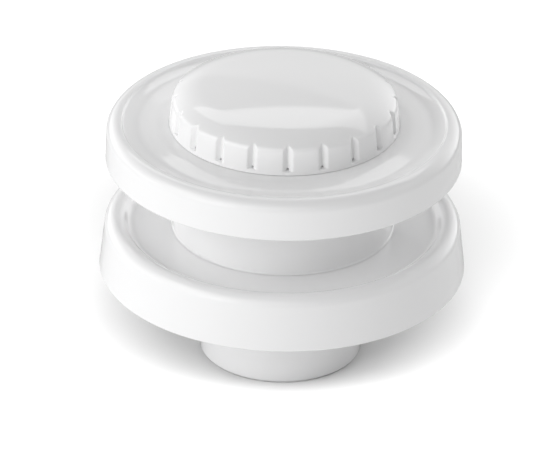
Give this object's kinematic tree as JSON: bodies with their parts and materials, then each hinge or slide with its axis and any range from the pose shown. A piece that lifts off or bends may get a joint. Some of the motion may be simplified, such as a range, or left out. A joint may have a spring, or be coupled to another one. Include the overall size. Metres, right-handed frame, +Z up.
{
  "type": "water-seal airlock",
  "caption": "Low turned white plastic airlock: spigot, dished lower disc, water collar, dished upper disc and a fluted domed vent cap over a floating bell.",
  "frame": {"origin": "centre of the spigot's flat end, where the airlock stands", "axes": "+Z up the airlock's axis towards the vent cap, -Y the front, +X to the right seen from the front"},
  "size_m": [0.11, 0.11, 0.0887],
  "materials": {
    "white_plastic": "glossy, moulded",
    "natural_plastic": "semi-gloss, moulded",
    "silicone": "satin"
  },
  "bodies": {
    "base": {"spigot": "white_plastic", "spigot_ring_lower": "silicone", "spigot_ring_upper": "silicone", "flange_gasket": "silicone", "lower_disc": "white_plastic", "water_cup": "white_plastic", "cup_seal_ring": "silicone"},
    "bell": {"float_bell": "natural_plastic"},
    "upper": {"upper_disc": "white_plastic"},
    "cap": {"vent_cap": "white_plastic"}
  },
  "joints": [
    {"name": "bell_rise", "type": "slide", "parent": "base", "child": "bell", "axis": [0, 0, 1], "range_m": [0, 0.0045]},
    {"name": "upper_disc_lift_off", "type": "slide", "parent": "base", "child": "upper", "axis": [0, 0, 1], "range_m": [0, 0.04]},
    {"name": "vent_cap_lift_off", "type": "slide", "parent": "upper", "child": "cap", "axis": [0, 0, 1], "range_m": [0, 0.03]}
  ]
}
